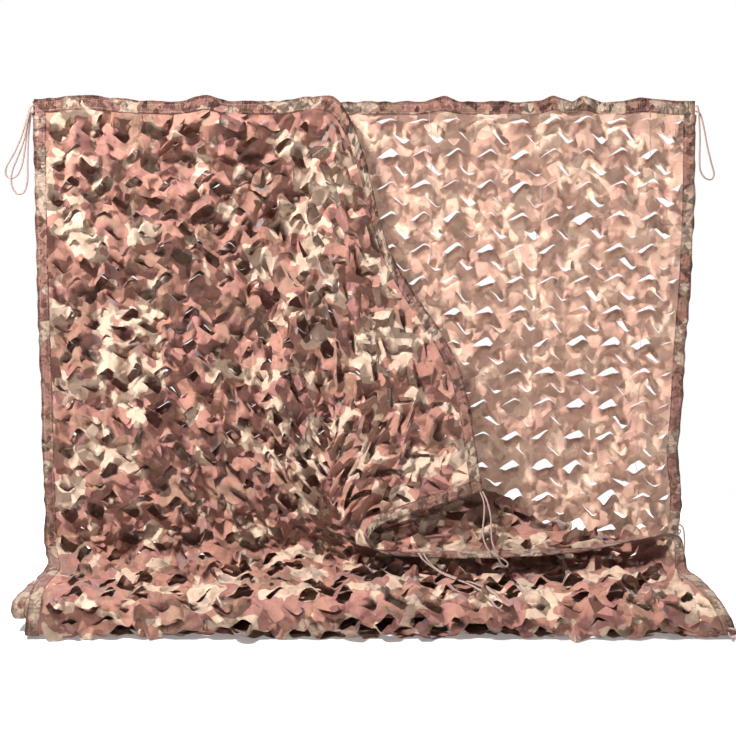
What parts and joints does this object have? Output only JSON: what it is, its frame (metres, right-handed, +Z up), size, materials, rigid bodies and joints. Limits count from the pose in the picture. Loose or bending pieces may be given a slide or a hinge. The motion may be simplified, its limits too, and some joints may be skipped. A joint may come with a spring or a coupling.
{
  "type": "camouflage netting",
  "caption": "Leaf-cut camouflage cloth hung by its bound top hem, folded in a pile and led up again as a front layer.",
  "frame": {"origin": "middle of the hung top hem's upper edge", "axes": "+Z up, +X to the viewer's right along the top hem, -Y towards the viewer, the floor at z = -1.125"},
  "size_m": [1.5725, 0.3192, 1.139],
  "materials": {
    "printed_cloth": "printed in sand, brown and tan, matt",
    "binding_tape": "woven tape, matt",
    "tie_cord": "braided cord"
  },
  "bodies": {
    "root": {"net": "printed_cloth", "binding_top": "binding_tape", "binding_front": "binding_tape", "binding_left": "binding_tape", "binding_right": "binding_tape", "tie_free_corner": "tie_cord", "tie_pile_end": "tie_cord", "tie_pile_front": "tie_cord", "tie_right_edge": "tie_cord", "tie_top_left_back": "tie_cord", "tie_top_left_front": "tie_cord", "tie_top_right": "tie_cord"}
  },
  "joints": []
}
